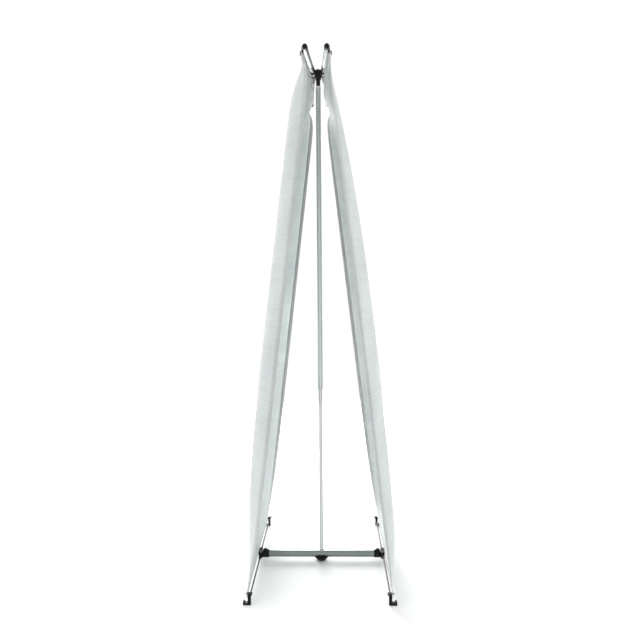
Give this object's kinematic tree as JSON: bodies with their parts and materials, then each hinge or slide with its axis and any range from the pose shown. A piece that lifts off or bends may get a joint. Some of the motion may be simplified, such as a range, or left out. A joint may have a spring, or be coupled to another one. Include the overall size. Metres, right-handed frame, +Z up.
{
  "type": "double-sided banner stand",
  "caption": "Double-sided banner stand: a telescoping mast on a crossbar with folding arms and spreader rods that stretch two fabric banners back to back.",
  "frame": {"origin": "on the floor, under the mast", "axes": "+Z up along the mast, +X along the crossbar from the left banner to the right banner, +Y along the width of the banners towards the back"},
  "size_m": [0.4723, 0.602, 1.658],
  "materials": {
    "white_fabric": "matt woven banner cloth",
    "silver_aluminium": "natural anodised",
    "grey_aluminium": "dark grey anodised",
    "black_plastic": "fine moulded texture",
    "grey_plastic": "moulded",
    "black_steel": "black powder coat on steel rod",
    "steel": "zinc plated"
  },
  "bodies": {
    "base": {"crossbar_tube": "grey_aluminium", "crossbar_insert": "black_plastic", "centre_foot": "black_plastic", "centre_screw": "steel", "base_ferrule": "steel", "lower_pole": "silver_aluminium", "lower_pole_plug": "steel", "expander_plug": "black_plastic", "expander_screw": "steel", "locking_knobs": "black_plastic", "end_joint_left": "black_plastic", "pivot_pins_left": "black_plastic", "banner_left": "white_fabric", "eyelets_left": "steel", "end_joint_right": "black_plastic", "pivot_pins_right": "black_plastic", "banner_right": "white_fabric", "eyelets_right": "steel"},
    "mast": {"upper_pole": "silver_aluminium", "slide_sleeve": "grey_plastic", "upper_pole_plug": "steel", "hub_body": "black_plastic", "hub_cap": "black_plastic", "hub_screw": "steel", "hinge_pins": "steel"},
    "arm_front_left": {"arm_socket_front_left": "black_plastic", "arm_tube_front_left": "grey_aluminium", "hook_cap_front_left": "black_plastic"},
    "rod_front_left": {"rod_eye_front_left": "black_plastic", "spreader_rod_front_left": "black_steel", "foot_hook_front_left": "black_plastic"},
    "arm_back_left": {"arm_socket_back_left": "black_plastic", "arm_tube_back_left": "grey_aluminium", "hook_cap_back_left": "black_plastic"},
    "rod_back_left": {"rod_eye_back_left": "black_plastic", "spreader_rod_back_left": "black_steel", "foot_hook_back_left": "black_plastic"},
    "arm_front_right": {"arm_socket_front_right": "black_plastic", "arm_tube_front_right": "grey_aluminium", "hook_cap_front_right": "black_plastic"},
    "rod_front_right": {"rod_eye_front_right": "black_plastic", "spreader_rod_front_right": "black_steel", "foot_hook_front_right": "black_plastic"},
    "arm_back_right": {"arm_socket_back_right": "black_plastic", "arm_tube_back_right": "grey_aluminium", "hook_cap_back_right": "black_plastic"},
    "rod_back_right": {"rod_eye_back_right": "black_plastic", "spreader_rod_back_right": "black_steel", "foot_hook_back_right": "black_plastic"}
  },
  "joints": [
    {"name": "mast_slide", "type": "slide", "parent": "base", "child": "mast", "axis": [0, 0, 1], "range_m": [-0.53, 0], "deforming": ["banner_left", "banner_right", "eyelets_left", "eyelets_right"]},
    {"name": "arm_fold_front_left", "type": "hinge", "parent": "mast", "child": "arm_front_left", "pos_m": [-0.017, -0.016, 1.646], "axis": [-1, 0, 0], "range_deg": [0, 92]},
    {"name": "rod_fold_front_left", "type": "hinge", "parent": "base", "child": "rod_front_left", "pos_m": [-0.211, -0.017, 0.022], "axis": [0, 0, 1], "range_deg": [0, 80]},
    {"name": "arm_fold_back_left", "type": "hinge", "parent": "mast", "child": "arm_back_left", "pos_m": [-0.017, 0.016, 1.646], "axis": [1, 0, 0], "range_deg": [0, 92]},
    {"name": "rod_fold_back_left", "type": "hinge", "parent": "base", "child": "rod_back_left", "pos_m": [-0.211, 0.017, 0.022], "axis": [0, 0, -1], "range_deg": [0, 80]},
    {"name": "arm_fold_front_right", "type": "hinge", "parent": "mast", "child": "arm_front_right", "pos_m": [0.017, -0.016, 1.646], "axis": [-1, 0, 0], "range_deg": [0, 92]},
    {"name": "rod_fold_front_right", "type": "hinge", "parent": "base", "child": "rod_front_right", "pos_m": [0.211, -0.017, 0.022], "axis": [0, 0, -1], "range_deg": [0, 80]},
    {"name": "arm_fold_back_right", "type": "hinge", "parent": "mast", "child": "arm_back_right", "pos_m": [0.017, 0.016, 1.646], "axis": [1, 0, 0], "range_deg": [0, 92]},
    {"name": "rod_fold_back_right", "type": "hinge", "parent": "base", "child": "rod_back_right", "pos_m": [0.211, 0.017, 0.022], "axis": [0, 0, 1], "range_deg": [0, 80]}
  ]
}
